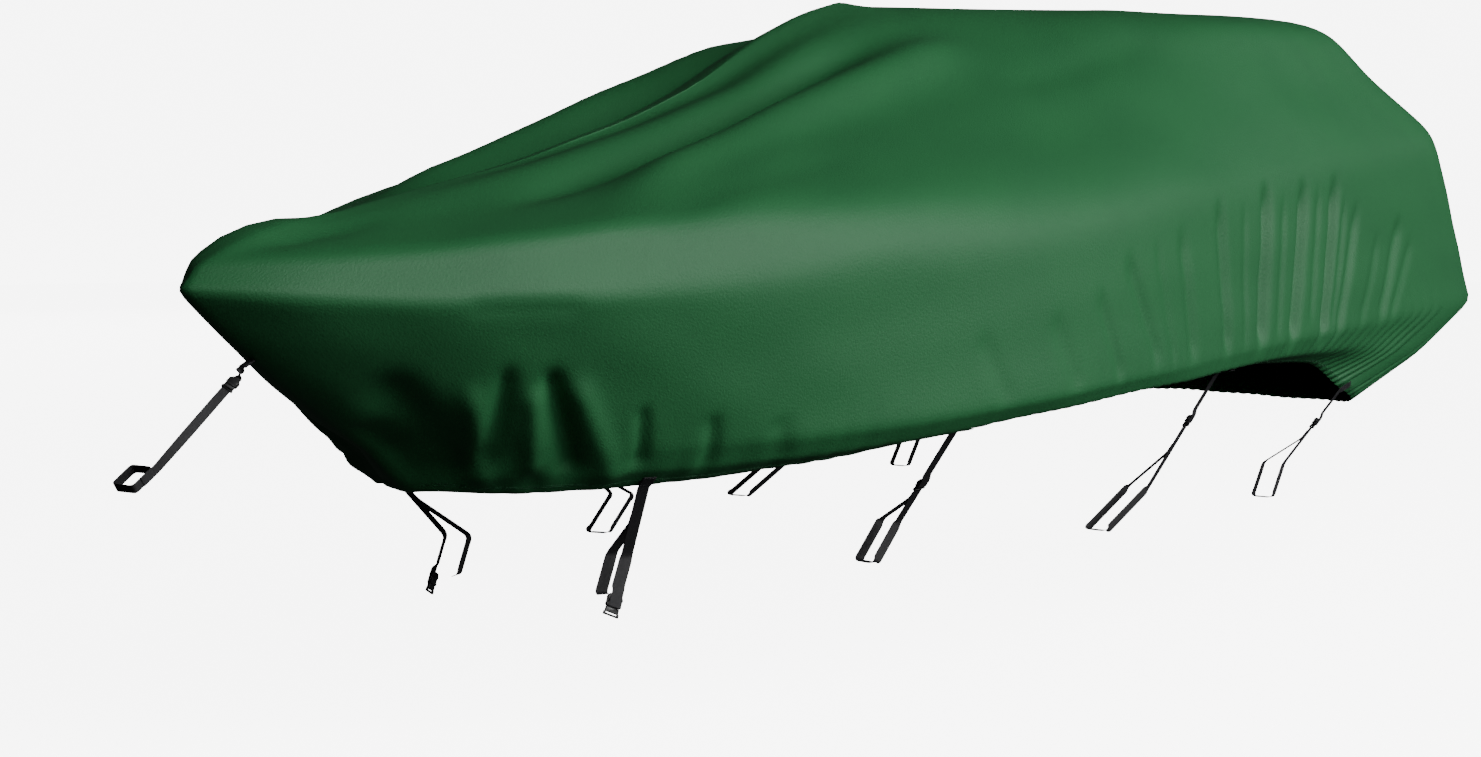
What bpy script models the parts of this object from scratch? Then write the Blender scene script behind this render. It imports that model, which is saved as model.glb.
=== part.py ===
"""Fitted boat cover with webbing tie-downs, in the shape it has when it is strapped down.

Frame: +X aft, -Y port, +Z up, metres, origin under the cloth at the middle of the raised top.
The sizes below are read along the cover: x is aft of the bow point, y is to starboard of the
centre line, and z is above a base line, 1.336 m below the bow point.
"""
import math

import bpy
import numpy as np
from mathutils import Vector
from mathutils.bvhtree import BVHTree

# ---------------------------------------------------------------- driving dimensions, metres
CLOTH = 0.0025            # thickness of the coated cloth
GAP = 0.0003              # clearance between pieces that touch
ORIGIN_X = 3.40           # the origin, under the cloth at the middle of the raised top
TOP_Z = 2.108             # height of the raised top's centre line

# Lines that run fore and aft along the cloth. Each row is one station of the port side.
# x: aft of the bow point; rub: the widest line; shoulder: the crease above it;
# knuckle: the line where the cloth turns under; hem: the elastic edge.
STATION_COLUMNS = ("x", "rub", "shoulder", "knuckle", "hem")
STATIONS = (
    (0.00, 1.336, 1.405, 0.885, 0.785),
    (0.45, 1.300, 1.435, 0.885, 0.775),
    (0.90, 1.303, 1.485, 0.880, 0.758),
    (1.30, 1.335, 1.530, 0.890, 0.783),
    (1.75, 1.408, 1.540, 0.912, 0.826),
    (2.40, 1.445, 1.555, 0.955, 0.895),
    (3.05, 1.515, 1.600, 0.995, 0.930),
    (3.70, 1.562, 1.645, 1.030, 0.953),
    (4.12, 1.585, 1.668, 1.047, 0.930),
    (4.45, 1.603, 1.683, 1.058, 0.810),
    (4.65, 1.615, 1.692, 1.066, 0.755),
    (5.05, 1.638, 1.715, 1.080, 0.755),
    (5.42, 1.645, 1.715, 1.094, 0.755),
)

# Plans of those lines. bow: where the line starts; stern: its aft end; beam: greatest half
# breadth; entry: length of the curved bow part; full: lower is blunter at the bow;
# transom: half breadth at the stern; corner: radius of the stern quarter.
PLAN_COLUMNS = ("bow", "stern", "beam", "entry", "full", "transom", "corner")
PLANS = {
    "hem": (0.800, 4.66, 1.010, 2.60, 0.62, 0.960, 0.20),
    "knuckle": (0.655, 5.42, 1.095, 2.35, 0.70, 1.080, 0.26),
    "rub": (0.000, 5.07, 1.100, 3.00, 0.85, 1.085, 0.22),
    "shoulder": (0.060, 5.06, 1.050, 2.95, 0.88, 1.060, 0.22),
}
ENTRY_POWER = 2.2         # curvature of the bow entry

# The edge of the raised top, which is flat, starts at a point and widens aft. Each row is one
# place on it. shoulder_x: the station on the shoulder line from which the cloth runs up to it.
TOP_COLUMNS = ("shoulder_x", "x", "half", "z")
TOP_STATIONS = (
    (0.00, 2.74, 0.000, 2.088),
    (1.00, 2.80, 0.060, 2.089),
    (2.00, 3.00, 0.200, 2.091),
    (2.60, 3.25, 0.380, 2.094),
    (3.20, 3.58, 0.620, 2.100),
    (3.85, 3.97, 0.790, 2.106),
    (4.84, 4.40, 0.830, 2.103),
)
TOP_CORNER = 0.20
TOP_RIDGE = (2.80, 4.35)  # fore and aft ends of the top's centre line

STEM_ROUND = 0.030        # how far the stem seam bows forward of a straight line
UNDER_ROUND = 0.020       # fullness of the band between the knuckle and the hem
BOW_HOLLOW = 0.030        # how far the deck sags between the bow and the raised top
QUARTER_HOLLOW = 0.030    # sag of the cloth from the raised top down to the stern
STARBOARD_DROP = 0.040    # the starboard shoulder lies lower near the bow
DROP_STATION = 0.80       # where that is greatest
DROP_REACH = 0.55

# Rows of points between those lines, as fractions of the way up.
UNDER_ROWS = (0.50,)
SIDE_ROWS = (0.20, 0.45, 0.72)
DECK_ROWS = (0.07, 0.18, 0.33, 0.52, 0.72, 0.88)
# Columns of points: the share of the side reached, and how many columns lead up to it.
SIDE_COLUMNS = ((0.10, 11), (0.24, 7), (0.53, 11), (0.98, 39))
BOW_SHARE = 0.50          # over this share of the side the columns rake with the stem
STERN_SHARE = 0.30        # and over this share they spread to the stern quarter
CORNER_COLUMNS = 6
STERN_COLUMNS = 11

# Folds. A valley has a negative depth and a ridge a positive one. u is x, and v is z on the
# sides, y on the deck; on the stern u is y and v is z. start and end fade over a fold's reach.
FOLD_COLUMNS = ("u0", "v0", "u1", "v1", "width", "depth")
SIDE_FOLDS = (
    (2.80, 1.38, 2.99, 0.99, 0.030, -0.009),
    (3.05, 1.40, 3.14, 0.99, 0.032, -0.011),
    (3.27, 1.53, 3.34, 0.99, 0.036, -0.012),
    (3.61, 1.56, 3.59, 0.99, 0.042, -0.022),
    (3.86, 1.57, 3.82, 0.99, 0.040, -0.024),
    (4.09, 1.58, 4.07, 0.99, 0.038, -0.024),
    (4.25, 1.43, 4.11, 0.99, 0.032, -0.012),
    (4.62, 1.34, 4.49, 1.02, 0.040, -0.016),
    (4.86, 1.36, 4.74, 1.02, 0.040, -0.013),
    # the forefoot, where the cloth is drawn in under the bow
    (0.46, 1.10, 0.87, 0.76, 0.034, -0.020),
    (0.66, 1.07, 0.88, 0.76, 0.028, 0.014),
    (0.72, 1.10, 0.86, 0.86, 0.026, -0.016),
    (0.80, 1.08, 0.93, 0.80, 0.028, 0.014),
    (0.81, 1.09, 1.03, 0.79, 0.032, -0.026),
    (0.86, 1.10, 1.11, 0.76, 0.034, 0.018),
    (1.07, 0.99, 1.14, 0.84, 0.026, -0.010),
    (0.58, 1.27, 0.84, 1.28, 0.022, -0.008),
)
STERN_FOLDS = (
    (-0.78, 1.50, -0.66, 0.99, 0.045, -0.016),
    (-0.42, 1.55, -0.36, 0.99, 0.050, -0.020),
    (-0.05, 1.45, 0.02, 0.99, 0.045, -0.014),
    (0.36, 1.55, 0.30, 0.99, 0.050, -0.020),
    (0.74, 1.50, 0.66, 0.99, 0.045, -0.016),
)
DECK_FOLDS = (
    (0.30, -0.05, 2.55, -0.24, 0.060, -0.014),
    (1.10, -0.30, 2.55, -0.37, 0.055, -0.012),
    (1.45, -0.46, 2.62, -0.50, 0.060, -0.016),
    (1.25, -0.38, 2.60, -0.43, 0.060, 0.010),
    (0.20, -0.02, 0.62, -0.16, 0.035, -0.012),
)
FOLD_FADE = 0.16          # share of a fold's length over which it dies out at each end
STARBOARD_SHIFT = 0.045   # the starboard folds lie this much further aft


def smooth_line(at, xs, ys):
    """Smooth curve through the points xs, ys, with no overshoot, read at the places in at."""
    xs = np.asarray(xs, float)
    ys = np.asarray(ys, float)
    slopes = np.diff(ys) / np.diff(xs)
    tangents = np.zeros(len(xs))
    rising = slopes[1:] * slopes[:-1] > 0
    tangents[1:-1][rising] = 2 / (1 / slopes[1:][rising] + 1 / slopes[:-1][rising])
    tangents[0], tangents[-1] = slopes[0], slopes[-1]
    at = np.clip(np.asarray(at, float), xs[0], xs[-1])
    k = np.clip(np.searchsorted(xs, at, side="right") - 1, 0, len(xs) - 2)
    step = xs[k + 1] - xs[k]
    t = (at - xs[k]) / step
    return ((1 + 2 * t) * (1 - t) ** 2 * ys[k] + t * (1 - t) ** 2 * step * tangents[k]
            + t * t * (3 - 2 * t) * ys[k + 1] + t * t * (t - 1) * step * tangents[k + 1])


def bump(d):
    """A round bump, 1 at d = 0."""
    return np.exp(-d * d)


def columns():
    """Zone (0 side, 1 corner, 2 stern) and fraction of each column of one half."""
    side = [0.0]
    for share, count in SIDE_COLUMNS:
        side.extend(np.linspace(side[-1], share, count + 1)[1:])
    corner = np.linspace(0, 1, CORNER_COLUMNS + 2)[1:-1]
    stern = np.linspace(0, 1, STERN_COLUMNS + 1)
    zone = np.repeat((0, 1, 2), (len(side), len(corner), len(stern)))
    return zone, np.concatenate([side, corner, stern])


def plan_line(name):
    """One half of a fore-and-aft line, as an (n, 3) array from the stem to the stern's middle."""
    p = dict(zip(PLAN_COLUMNS, PLANS[name]))
    zone, f = columns()
    heel = p["stern"] - p["corner"]
    reach = dict(zip(PLAN_COLUMNS, PLANS["rub"]))
    reach = reach["stern"] - reach["corner"]
    x = (reach * f + p["bow"] * np.clip(1 - f / BOW_SHARE, 0, 1) ** 2
         + (heel - reach) * np.clip(1 - (1 - f) / STERN_SHARE, 0, 1) ** 2)
    ahead = np.clip(1 - (x - p["bow"]) / p["entry"], 0, 1)
    aft = np.clip((x - p["bow"] - p["entry"]) / (heel - p["bow"] - p["entry"]), 0, 1)
    y = p["beam"] * (1 - ahead ** ENTRY_POWER) ** p["full"] - (p["beam"] - p["transom"]) * aft
    turn = f * math.pi / 2
    inner = p["transom"] - p["corner"]
    x = np.choose(zone, [x, heel + p["corner"] * np.sin(turn), p["stern"]])
    y = np.choose(zone, [y, inner + p["corner"] * np.cos(turn), inner * (1 - f)])
    table = np.array(STATIONS)
    z = smooth_line(x, table[:, 0], table[:, STATION_COLUMNS.index(name)])
    return np.column_stack([x, y, z])


def top_edge(shoulder):
    """One half of the raised top's edge, a point for each column."""
    zone, f = columns()
    table = np.array(TOP_STATIONS)
    x, y, z = (smooth_line(shoulder[:, 0], table[:, 0], table[:, k]) for k in (1, 2, 3))
    heel, beam = table[-1, 1], table[-1, 2]
    inner = beam - TOP_CORNER
    turn = f * math.pi / 2
    x = np.choose(zone, [x, heel + TOP_CORNER * np.sin(turn), heel + TOP_CORNER])
    y = np.choose(zone, [y, inner + TOP_CORNER * np.cos(turn), inner * (1 - f)])
    return np.column_stack([x, y, z])


def top_ridge(edge):
    """The top's centre line, with its points spread as the edge's points are."""
    run = np.concatenate([[0], np.cumsum(np.linalg.norm(np.diff(edge, axis=0), axis=1))])
    x = TOP_RIDGE[0] + (TOP_RIDGE[1] - TOP_RIDGE[0]) * run / run[-1]
    return np.column_stack([x, np.zeros(len(x)), np.full(len(x), TOP_Z)])


def half_rows(side):
    """Rows of points of one half, hem to ridge, before its folds. side is -1 port, 1 starboard."""
    hem, knuckle, rub, shoulder = map(plan_line, ("hem", "knuckle", "rub", "shoulder"))
    if side > 0:
        shoulder[:, 2] -= STARBOARD_DROP * bump((shoulder[:, 0] - DROP_STATION) / DROP_REACH)
    edge = top_edge(shoulder)
    ridge = top_ridge(edge)
    at_stem = bump(rub[:, 0] / 0.35)[:, None]
    at_stern = np.clip((rub[:, 0] - 3.9) / 1.0, 0, 1)[:, None]
    ahead = bump((shoulder[:, 0] - 0.5) / 0.9)[:, None]
    rows = [hem]
    for t in UNDER_ROWS:
        full = np.array([0, UNDER_ROUND, -UNDER_ROUND]) * 4 * t * (1 - t)
        rows.append(hem + (knuckle - hem) * t + full * (knuckle[:, 1:2] / PLANS["knuckle"][2]))
    rows.append(knuckle)
    for t in SIDE_ROWS:
        rows.append(knuckle + (rub - knuckle) * t
                    + np.array([-STEM_ROUND, 0, 0]) * 4 * t * (1 - t) * at_stem)
    rows += [rub, shoulder]
    for t in DECK_ROWS:
        sag = BOW_HOLLOW * ahead + QUARTER_HOLLOW * at_stern
        rows.append(shoulder + (edge - shoulder) * t - np.array([0, 0, 1]) * sag * 4 * t * (1 - t))
    rows += [edge, (edge + ridge) / 2 + np.array([0, 0, 0.006]), ridge]
    grid = np.array(rows)
    grid[:, 0, 1] = 0
    grid[..., 1] *= side
    return grid


def row_normals(grid, side):
    """Outward normals of a half's grid, one for each point."""
    up = np.gradient(grid, axis=0)
    aft = np.gradient(grid, axis=1)
    normal = np.cross(up, aft) * side
    return normal / np.maximum(np.linalg.norm(normal, axis=2, keepdims=True), 1e-9)


def fold_depth(u, v, folds):
    """Sum of the folds of a table at the places u, v."""
    depth = np.zeros_like(u)
    for row in folds:
        f = dict(zip(FOLD_COLUMNS, row))
        du, dv = f["u1"] - f["u0"], f["v1"] - f["v0"]
        length = math.hypot(du, dv)
        along = ((u - f["u0"]) * du + (v - f["v0"]) * dv) / length ** 2
        across = ((u - f["u0"]) * dv - (v - f["v0"]) * du) / length
        fade = np.clip(along / FOLD_FADE, 0, 1) * np.clip((1 - along) / FOLD_FADE, 0, 1)
        depth += f["depth"] * bump(across / f["width"]) * fade * (2 - fade)
    return depth


def folded_half(side):
    """One half's grid with its folds."""
    grid = half_rows(side)
    normal = row_normals(grid, side)
    x, y, z = grid[..., 0], grid[..., 1], grid[..., 2]
    shift = STARBOARD_SHIFT if side > 0 else 0.0
    knuckle_row = 1 + len(UNDER_ROWS)
    rub_row = knuckle_row + len(SIDE_ROWS) + 1
    zone = columns()[0][None, :]
    is_side = (np.arange(len(grid))[:, None] <= rub_row) & (zone == 0)
    is_stern = (np.arange(len(grid))[:, None] <= rub_row) & (zone > 0)
    is_deck = np.arange(len(grid))[:, None] > rub_row
    depth = (fold_depth(x - shift, z, SIDE_FOLDS) * is_side
             + fold_depth(y, z, STERN_FOLDS) * is_stern
             + fold_depth(x - shift, y * -side, DECK_FOLDS) * is_deck)
    clear = np.clip(np.abs(y) / 0.05, 0, 1)
    return grid + normal * (depth * clear)[..., None]


def to_part_frame(points):
    """From the cover's own sizes to the part's frame."""
    return np.asarray(points, float) - np.array([ORIGIN_X, 0, TOP_Z - CLOTH])


# ---------------------------------------------------------------- tie-downs, metres
WEB = 0.0018              # thickness of the polyester webbing
SEWN = 0.050              # length of a tie that is sewn to the cloth's outer face
SEWN_STEPS = 4            # stretches in which that length follows the cloth
SEWN_CLEAR = 0.0009       # its distance from the cloth there
HEM_DROP = 0.010          # the tie turns towards its foot this far below the hem
FOOT_WIDTH = 0.075        # the foot of each loop is a four-sided ring, this wide inside
FOOT_TOP = 0.560          # height of the foot's upper bends
FOOT_LOW = 0.450          # and of its lower bends
LOOP_RADIUS = 0.014       # the loop's bends
SPLIT_LENGTH = 0.030      # the loop's end lies this far along the strand in front of it

# The ties of one side. hem_x: where it is sewn on; top_x, low_x: where it meets the top and the
# bottom of the foot; foot_y: the foot's distance from the centre line; turn: the foot's angle
# to the centre line, degrees; web: width; buckle: distance from the hem to the buckle;
# split: distance from the hem to the place where the loop closes.
TIE_COLUMNS = ("name", "hem_x", "top_x", "low_x", "foot_y", "turn", "web", "buckle", "split")
TIES = (
    ("tie_1", 1.20, 1.31, 1.26, 0.335, 18, 0.038, 0.385, 0.140),
    ("tie_2", 2.13, 2.32, 2.20, 0.550, 14, 0.030, 0.250, 0.345),
    ("tie_3", 3.45, 3.46, 3.20, 0.750, 5, 0.025, 0.165, 0.310),
    ("tie_4", 4.42, 4.34, 4.26, 0.790, 0, 0.025, 0.120, 0.205),
)

# A side-release buckle, as shares of its webbing's width, and its thicknesses.
BUCKLE_SPREAD = 1.30      # its width
SOCKET_LONG = 1.00        # the half with the side windows
SOCKET_WIDEST = 0.30      # where the socket reaches its full width
PLUG_LONG = 0.62          # the half with the bar
PLUG_WAIST = 0.86         # width of the plug's neck and of the socket's end, of the buckle's
PLUG_NECK = 0.50          # length of that neck, of the plug's
PLUG_WIDEST = 0.62        # where the plug reaches its full width, of its length
SOCKET_THICK = 0.0110
PLUG_THICK = 0.0075
PLUG_SLOT = 0.0036        # height of the slot beside the plug's bar
BUCKLE_CHAMFER = 0.0050
TAIL_RISE = (0.022, 0.010, 0.85)   # the tail starts to rise onto the socket this far before it,
                                   # and this far before it has risen by this share

# The bow tie runs down and forward in the centre plane to a square band.
BOW_WEB = 0.025
BOW_TAIL_WEB = 0.0225     # the twisted tail is drawn in
BOW_TAB = ((0.2376, 1.1505), (0.205, 1.136))    # x, z of the tab's ends
BOW_BUCKLE = (0.184, 1.106)                     # x, z of the buckle's upper end
BOW_TURN = 40             # the buckle is turned by this angle about its tie, degrees
BAND_HALF = 0.036         # half the width inside the band
BAND_CENTRE = (-0.156, 0.890)
BAND_RADIUS = 0.008       # the band's bends
BAND_LAP = 0.046          # length of the strand's end that lies on the band
STRAND_LEAD = 0.005       # webbing leaves the tab and the buckle straight over this length
TWIST_STEPS = 9           # stretches of webbing in each twist

# ---------------------------------------------------------------- finish of each material
FINISHES = {
    "green_coated_cloth": ((0.045, 0.150, 0.062), 0.62, 0.0),
    "black_webbing": ((0.012, 0.012, 0.013), 0.80, 0.0),
    "black_acetal": ((0.010, 0.010, 0.011), 0.40, 0.0),
}


def finish(name):
    """The named material, made on first use."""
    material = bpy.data.materials.get(name)
    if material is None:
        colour, roughness, metallic = FINISHES[name]
        material = bpy.data.materials.new(name)
        material.use_nodes = True
        shader = material.node_tree.nodes["Principled BSDF"]
        shader.inputs["Base Color"].default_value = (*colour, 1)
        shader.inputs["Roughness"].default_value = roughness
        shader.inputs["Metallic"].default_value = metallic
    return material


def add_piece(name, points, faces, material):
    """One closed solid as an object of its own."""
    mesh = bpy.data.meshes.new(name)
    mesh.from_pydata([tuple(p) for p in points], [], faces)
    mesh.materials.append(finish(material))
    mesh.shade_smooth()
    piece = bpy.data.objects.new(name, mesh)
    bpy.context.scene.collection.objects.link(piece)
    return piece


def make_cover():
    """The cloth: both halves welded along the stem, the centre line and the stern's middle."""
    port, starboard = folded_half(-1), folded_half(1)
    seam = (port + starboard) / 2
    rows, across, _ = port.shape
    index = np.zeros((2, rows, across), int)
    points = []
    for half, grid in enumerate((port, starboard)):
        for r in range(rows):
            for c in range(across):
                shared = c in (0, across - 1) or r == rows - 1
                if shared and half:
                    index[1, r, c] = index[0, r, c]
                    continue
                index[half, r, c] = len(points)
                points.append(seam[r, c] * (1, 0, 1) if shared else grid[r, c])
    faces = []
    for half in (0, 1):
        for r in range(rows - 1):
            for c in range(across - 1):
                a, b = index[half, r, c], index[half, r, c + 1]
                e, d = index[half, r + 1, c], index[half, r + 1, c + 1]
                faces.append((a, b, d, e) if half == 0 else (e, d, b, a))
    cover = add_piece("cover", to_part_frame(points), faces, "green_coated_cloth")
    wall = cover.modifiers.new("wall", "SOLIDIFY")
    wall.thickness = CLOTH
    wall.offset = -1
    return cover


def unit(v):
    """The vector v, one long."""
    v = np.asarray(v, float)
    return v / np.linalg.norm(v)


def facing(direction, way):
    """The direction, turned about if it points against way."""
    return direction if direction @ way > 0 else -direction


def rounded(points, radius, steps=3):
    """The polyline with each inner corner turned into a short arc."""
    points = [np.asarray(p, float) for p in points]
    out = [points[0]]
    for before, corner, after in zip(points, points[1:], points[2:]):
        a = corner + unit(before - corner) * min(radius, np.linalg.norm(before - corner) * 0.45)
        b = corner + unit(after - corner) * min(radius, np.linalg.norm(after - corner) * 0.45)
        for k in range(steps + 1):
            t = k / steps
            out.append((1 - t) ** 2 * a + 2 * t * (1 - t) * corner + t * t * b)
    return out + [points[-1]]


def cut_path(path, start, end):
    """The stretch of a polyline between two distances along it."""
    path = np.array(path)
    run = np.concatenate([[0], np.cumsum(np.linalg.norm(np.diff(path, axis=0), axis=1))])
    ends = [np.array([np.interp(d, run, path[:, k]) for k in range(3)]) for d in (start, end)]
    inner = [p for p, d in zip(path, run) if start + 1e-5 < d < end - 1e-5]
    return [ends[0], *inner, ends[1]]


def ribbon(name, path, width, across, closed=False):
    """Flat webbing along a path. across: the direction of its width, one or one per point."""
    path = np.array(path)
    count = len(path)
    across = np.broadcast_to(np.asarray(across, float), (count, 3))
    ahead = np.roll(path, -1, axis=0) - path
    behind = path - np.roll(path, 1, axis=0)
    if not closed:
        ahead[-1], behind[0] = behind[-1], ahead[0]
    points = []
    for p, a, b, w in zip(path, ahead, behind, across):
        tangent = unit(unit(a) + unit(b))
        w = unit(w - tangent * (w @ tangent))
        n = np.cross(tangent, w)
        for sw, sn in ((-1, -1), (1, -1), (1, 1), (-1, 1)):
            points.append(p + w * sw * width / 2 + n * sn * WEB / 2)
    faces = []
    for k in range(count if closed else count - 1):
        a, b = 4 * k, 4 * ((k + 1) % count)
        # both broad faces are cut along the same diagonal, or they would cross in a twist
        faces += [(a, a + 1, b + 1), (a, b + 1, b), (a + 1, a + 2, b + 2, b + 1),
                  (a + 2, a + 3, b + 2), (a + 3, b + 3, b + 2), (a + 3, a, b, b + 3)]
    if not closed:
        last = 4 * (count - 1)
        faces += [(3, 2, 1, 0), (last, last + 1, last + 2, last + 3)]
    return add_piece(name, to_part_frame(points), faces, "black_webbing")


def plate(name, outline, thickness, start, along, across, slot=None, material="black_acetal"):
    """A flat piece. outline and slot: rings of (along, across) points, with as many in each."""
    thick = np.cross(along, across)
    rings = [[start + along * u + across * v + thick * side * thickness / 2 for u, v in ring]
             for side in (-1, 1) for ring in ([outline] if slot is None else [outline, slot])]
    n = len(outline)
    points = [p for ring in rings for p in ring]
    if slot is None:
        faces = [tuple(range(n))[::-1], tuple(range(n, 2 * n))]
        faces += [(k, (k + 1) % n, n + (k + 1) % n, n + k) for k in range(n)]
    else:
        low, low_in, high, high_in = 0, n, 2 * n, 3 * n
        faces = []
        for k in range(n):
            m = (k + 1) % n
            faces.append((low + m, low + k, low_in + k, low_in + m))
            faces.append((high + k, high + m, high_in + m, high_in + k))
            faces.append((low + k, low + m, high + m, high + k))
            faces.append((low_in + m, low_in + k, high_in + k, high_in + m))
    return add_piece(name, to_part_frame(points), faces, material)


def make_buckle(name, start, along, across, web):
    """The socket and the plug of a side-release buckle; returns the distance to its far end."""
    half = web * BUCKLE_SPREAD / 2
    waist = half * PLUG_WAIST
    cut = BUCKLE_CHAMFER
    long = web * SOCKET_LONG
    wide = long * SOCKET_WIDEST
    socket = ((0, -waist + cut), (cut, -waist), (wide, -half), (long - cut, -half),
              (long, -half + cut), (long, half - cut), (long - cut, half), (wide, half),
              (cut, waist), (0, waist - cut))
    plate(f"{name}_socket", socket, SOCKET_THICK, start, along, across)
    begin = start + along * (long + GAP)
    reach = web * PLUG_LONG
    neck, wide, bar = reach * PLUG_NECK, reach * PLUG_WIDEST, web / 2
    plug = ((0, -waist), (neck, -waist), (wide, -half), (reach, -half),
            (reach, half), (wide, half), (neck, waist), (0, waist))
    steps = [wide + PLUG_SLOT * share for share in (0, 1 / 3, 2 / 3, 1)]
    slot = [(u, -bar) for u in steps] + [(u, bar) for u in reversed(steps)]
    plate(f"{name}_plug", plug, PLUG_THICK, begin, along, across, slot)
    return long + GAP + reach


def hem_place(grid, x):
    """Points from the hem up to the knuckle at station x, and the hem's direction there."""
    side = grid[:2 + len(UNDER_ROWS), columns()[0] < 2]
    low = int(np.searchsorted(side[0, :, 0], x)) - 1
    t = (x - side[0, low, 0]) / (side[0, low + 1, 0] - side[0, low, 0])
    return side[:, low] * (1 - t) + side[:, low + 1] * t, unit(side[0, low + 1] - side[0, low])


def lifted(point, up, across, width, cloth):
    """The point moved out until the webbing about it lies clear of the cloth."""
    probe = 0.05
    outward = facing(unit(np.cross(up, across)), point * (0, 1, 0))
    highest = 0.0
    for share in (-0.5, -0.25, 0, 0.25, 0.5):
        for step in (-1, -0.5, 0, 0.5, 1):
            start = (point + across * width * share + up * SEWN / SEWN_STEPS * step
                     + outward * probe)
            hit = cloth.ray_cast(Vector(to_part_frame(start)), Vector(-outward), 2 * probe)
            if hit[0] is not None:
                highest = max(highest, probe - hit[3])
    return point + outward * (highest + SEWN_CLEAR + WEB / 2)


def make_tie(tie, side, grid, cloth):
    """One side tie: the sewn tail, the buckle and the loop."""
    t = dict(zip(TIE_COLUMNS, tie))
    name = f"{t['name']}_{'port' if side < 0 else 'starboard'}"
    turn = math.radians(t["turn"])
    foot_way = np.array([math.cos(turn), side * math.sin(turn), 0])
    inward = np.array([math.sin(turn), -side * math.cos(turn), 0])
    band, hem_way = hem_place(grid, t["hem_x"])
    up = unit(band[1] - band[0])
    sewn = [lifted(band[0] + up * height, up, hem_way, t["web"], cloth)
            for height in (*np.linspace(SEWN, 0, SEWN_STEPS + 1), -HEM_DROP)]
    top_out = np.array([t["top_x"], side * t["foot_y"], FOOT_TOP])
    low_out = np.array([t["low_x"], side * t["foot_y"], FOOT_LOW])
    low_in, top_in = low_out + inward * FOOT_WIDTH, top_out + inward * FOOT_WIDTH
    strand = unit(top_out - sewn[-1])
    front = rounded([sewn[-1], top_out, low_out], LOOP_RADIUS)
    width_way = unit(foot_way - strand * (foot_way @ strand))
    face = facing(np.cross(width_way, strand), -inward)

    # the buckle lies on the straight stretch that it starts on
    stretch = cut_path(front, t["buckle"], t["buckle"] + LOOP_RADIUS)
    start, along = stretch[0], unit(stretch[-1] - stretch[0])
    across = unit(foot_way - along * (foot_way @ along))
    flat_out = facing(np.cross(across, along), -inward)
    length = make_buckle(name, start + along * GAP, along, across, t["web"])

    rise = flat_out * (SOCKET_THICK / 2 + WEB / 2 + GAP)
    lift_start, lift_end, lift_share = TAIL_RISE
    tail = [*sewn[:-1], *cut_path(front, 0, t["buckle"] - lift_start)]
    ways = [hem_way] * (len(sewn) - 1) + [width_way] * (len(tail) - len(sewn) + 1)
    tail += [start - along * lift_end + rise * lift_share, start + along * GAP + rise,
             start + along * t["web"] * SOCKET_LONG + rise]
    ribbon(f"{name}_tail", tail, t["web"], ways + [across] * 3)

    close = sewn[-1] + strand * t["split"] - face * (WEB + GAP)
    ring = rounded([sewn[-1], top_out, low_out, low_in, top_in, close,
                    close - strand * SPLIT_LENGTH], LOOP_RADIUS)
    total = sum(np.linalg.norm(b - a) for a, b in zip(ring, ring[1:]))
    ring = cut_path(ring, t["buckle"] + length + 2 * GAP, total)
    ribbon(f"{name}_loop", ring, t["web"], foot_way)


def make_bow_tie():
    """The tie at the stem: tab, twisted tail, buckle, strand and the band that it ends on."""
    port = np.array([0, -1.0, 0])
    tab, tab_end, first, centre = (np.array([x, 0, z])
                                   for x, z in (*BOW_TAB, BOW_BUCKLE, BAND_CENTRE))
    tab_way = unit(tab_end - tab)
    tab_long, half = np.linalg.norm(tab_end - tab), BOW_WEB / 2
    plate("bow_tie_tab", ((0, -half), (tab_long, -half), (tab_long, half), (0, half)),
          3 * WEB, tab, tab_way, port, material="black_webbing")
    along = unit(centre - first)
    upright = np.cross(port, along)
    turn = math.radians(BOW_TURN)
    leaning = port * math.cos(turn) + upright * math.sin(turn)
    length = make_buckle("bow_tie", first, along, leaning, BOW_WEB)

    shares = np.linspace(0, 1, TWIST_STEPS + 1)[:, None]
    begin, end = tab_end + tab_way * GAP, first - along * GAP
    twist = begin + tab_way * STRAND_LEAD, end - along * STRAND_LEAD
    path = [begin, *(twist[0] + (twist[1] - twist[0]) * shares), end]
    angle = np.concatenate([[[0]], shares, [[1]]]) * (math.pi + turn)
    ribbon("bow_tie_tail", path, BOW_TAIL_WEB, port * np.cos(angle) + upright * np.sin(angle))

    reach = BAND_HALF + WEB / 2 + GAP
    corners = [centre + along * a * reach + port * b * reach
               for a, b in ((-1, -1), (1, -1), (1, 1), (-1, 1))]
    middle = (corners[-1] + corners[0]) / 2
    ring = rounded([middle, *corners, middle], BAND_RADIUS)[:-1]
    ribbon("bow_tie_band", ring, BOW_WEB, upright, closed=True)

    # the strand turns flat to the band's port face, clears its corner and then lies on it
    begin = first + along * (length + 2 * GAP)
    lead = begin + along * STRAND_LEAD
    lap = centre + port * (reach + WEB + GAP)
    lap_start = lap - along * (reach + BAND_RADIUS)
    shares = np.linspace(0, 1, TWIST_STEPS)[:, None]
    path = [begin, *(lead + (lap_start - lead) * shares), lap + along * (BAND_LAP - reach)]
    ways = leaning * (1 - shares) + upright * shares
    ribbon("bow_tie_strand", path, BOW_WEB, [leaning, *ways, upright])


for old in list(bpy.data.objects):
    bpy.data.objects.remove(old, do_unlink=True)

cover = make_cover()
bpy.context.view_layer.update()
cloth = BVHTree.FromObject(cover, bpy.context.evaluated_depsgraph_get())
for side in (-1, 1):
    grid = folded_half(side)
    for tie in TIES:
        make_tie(tie, side, grid, cloth)
make_bow_tie()
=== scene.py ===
import math

import bpy
import numpy as np
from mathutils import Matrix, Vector
from mathutils.bvhtree import BVHTree


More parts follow.
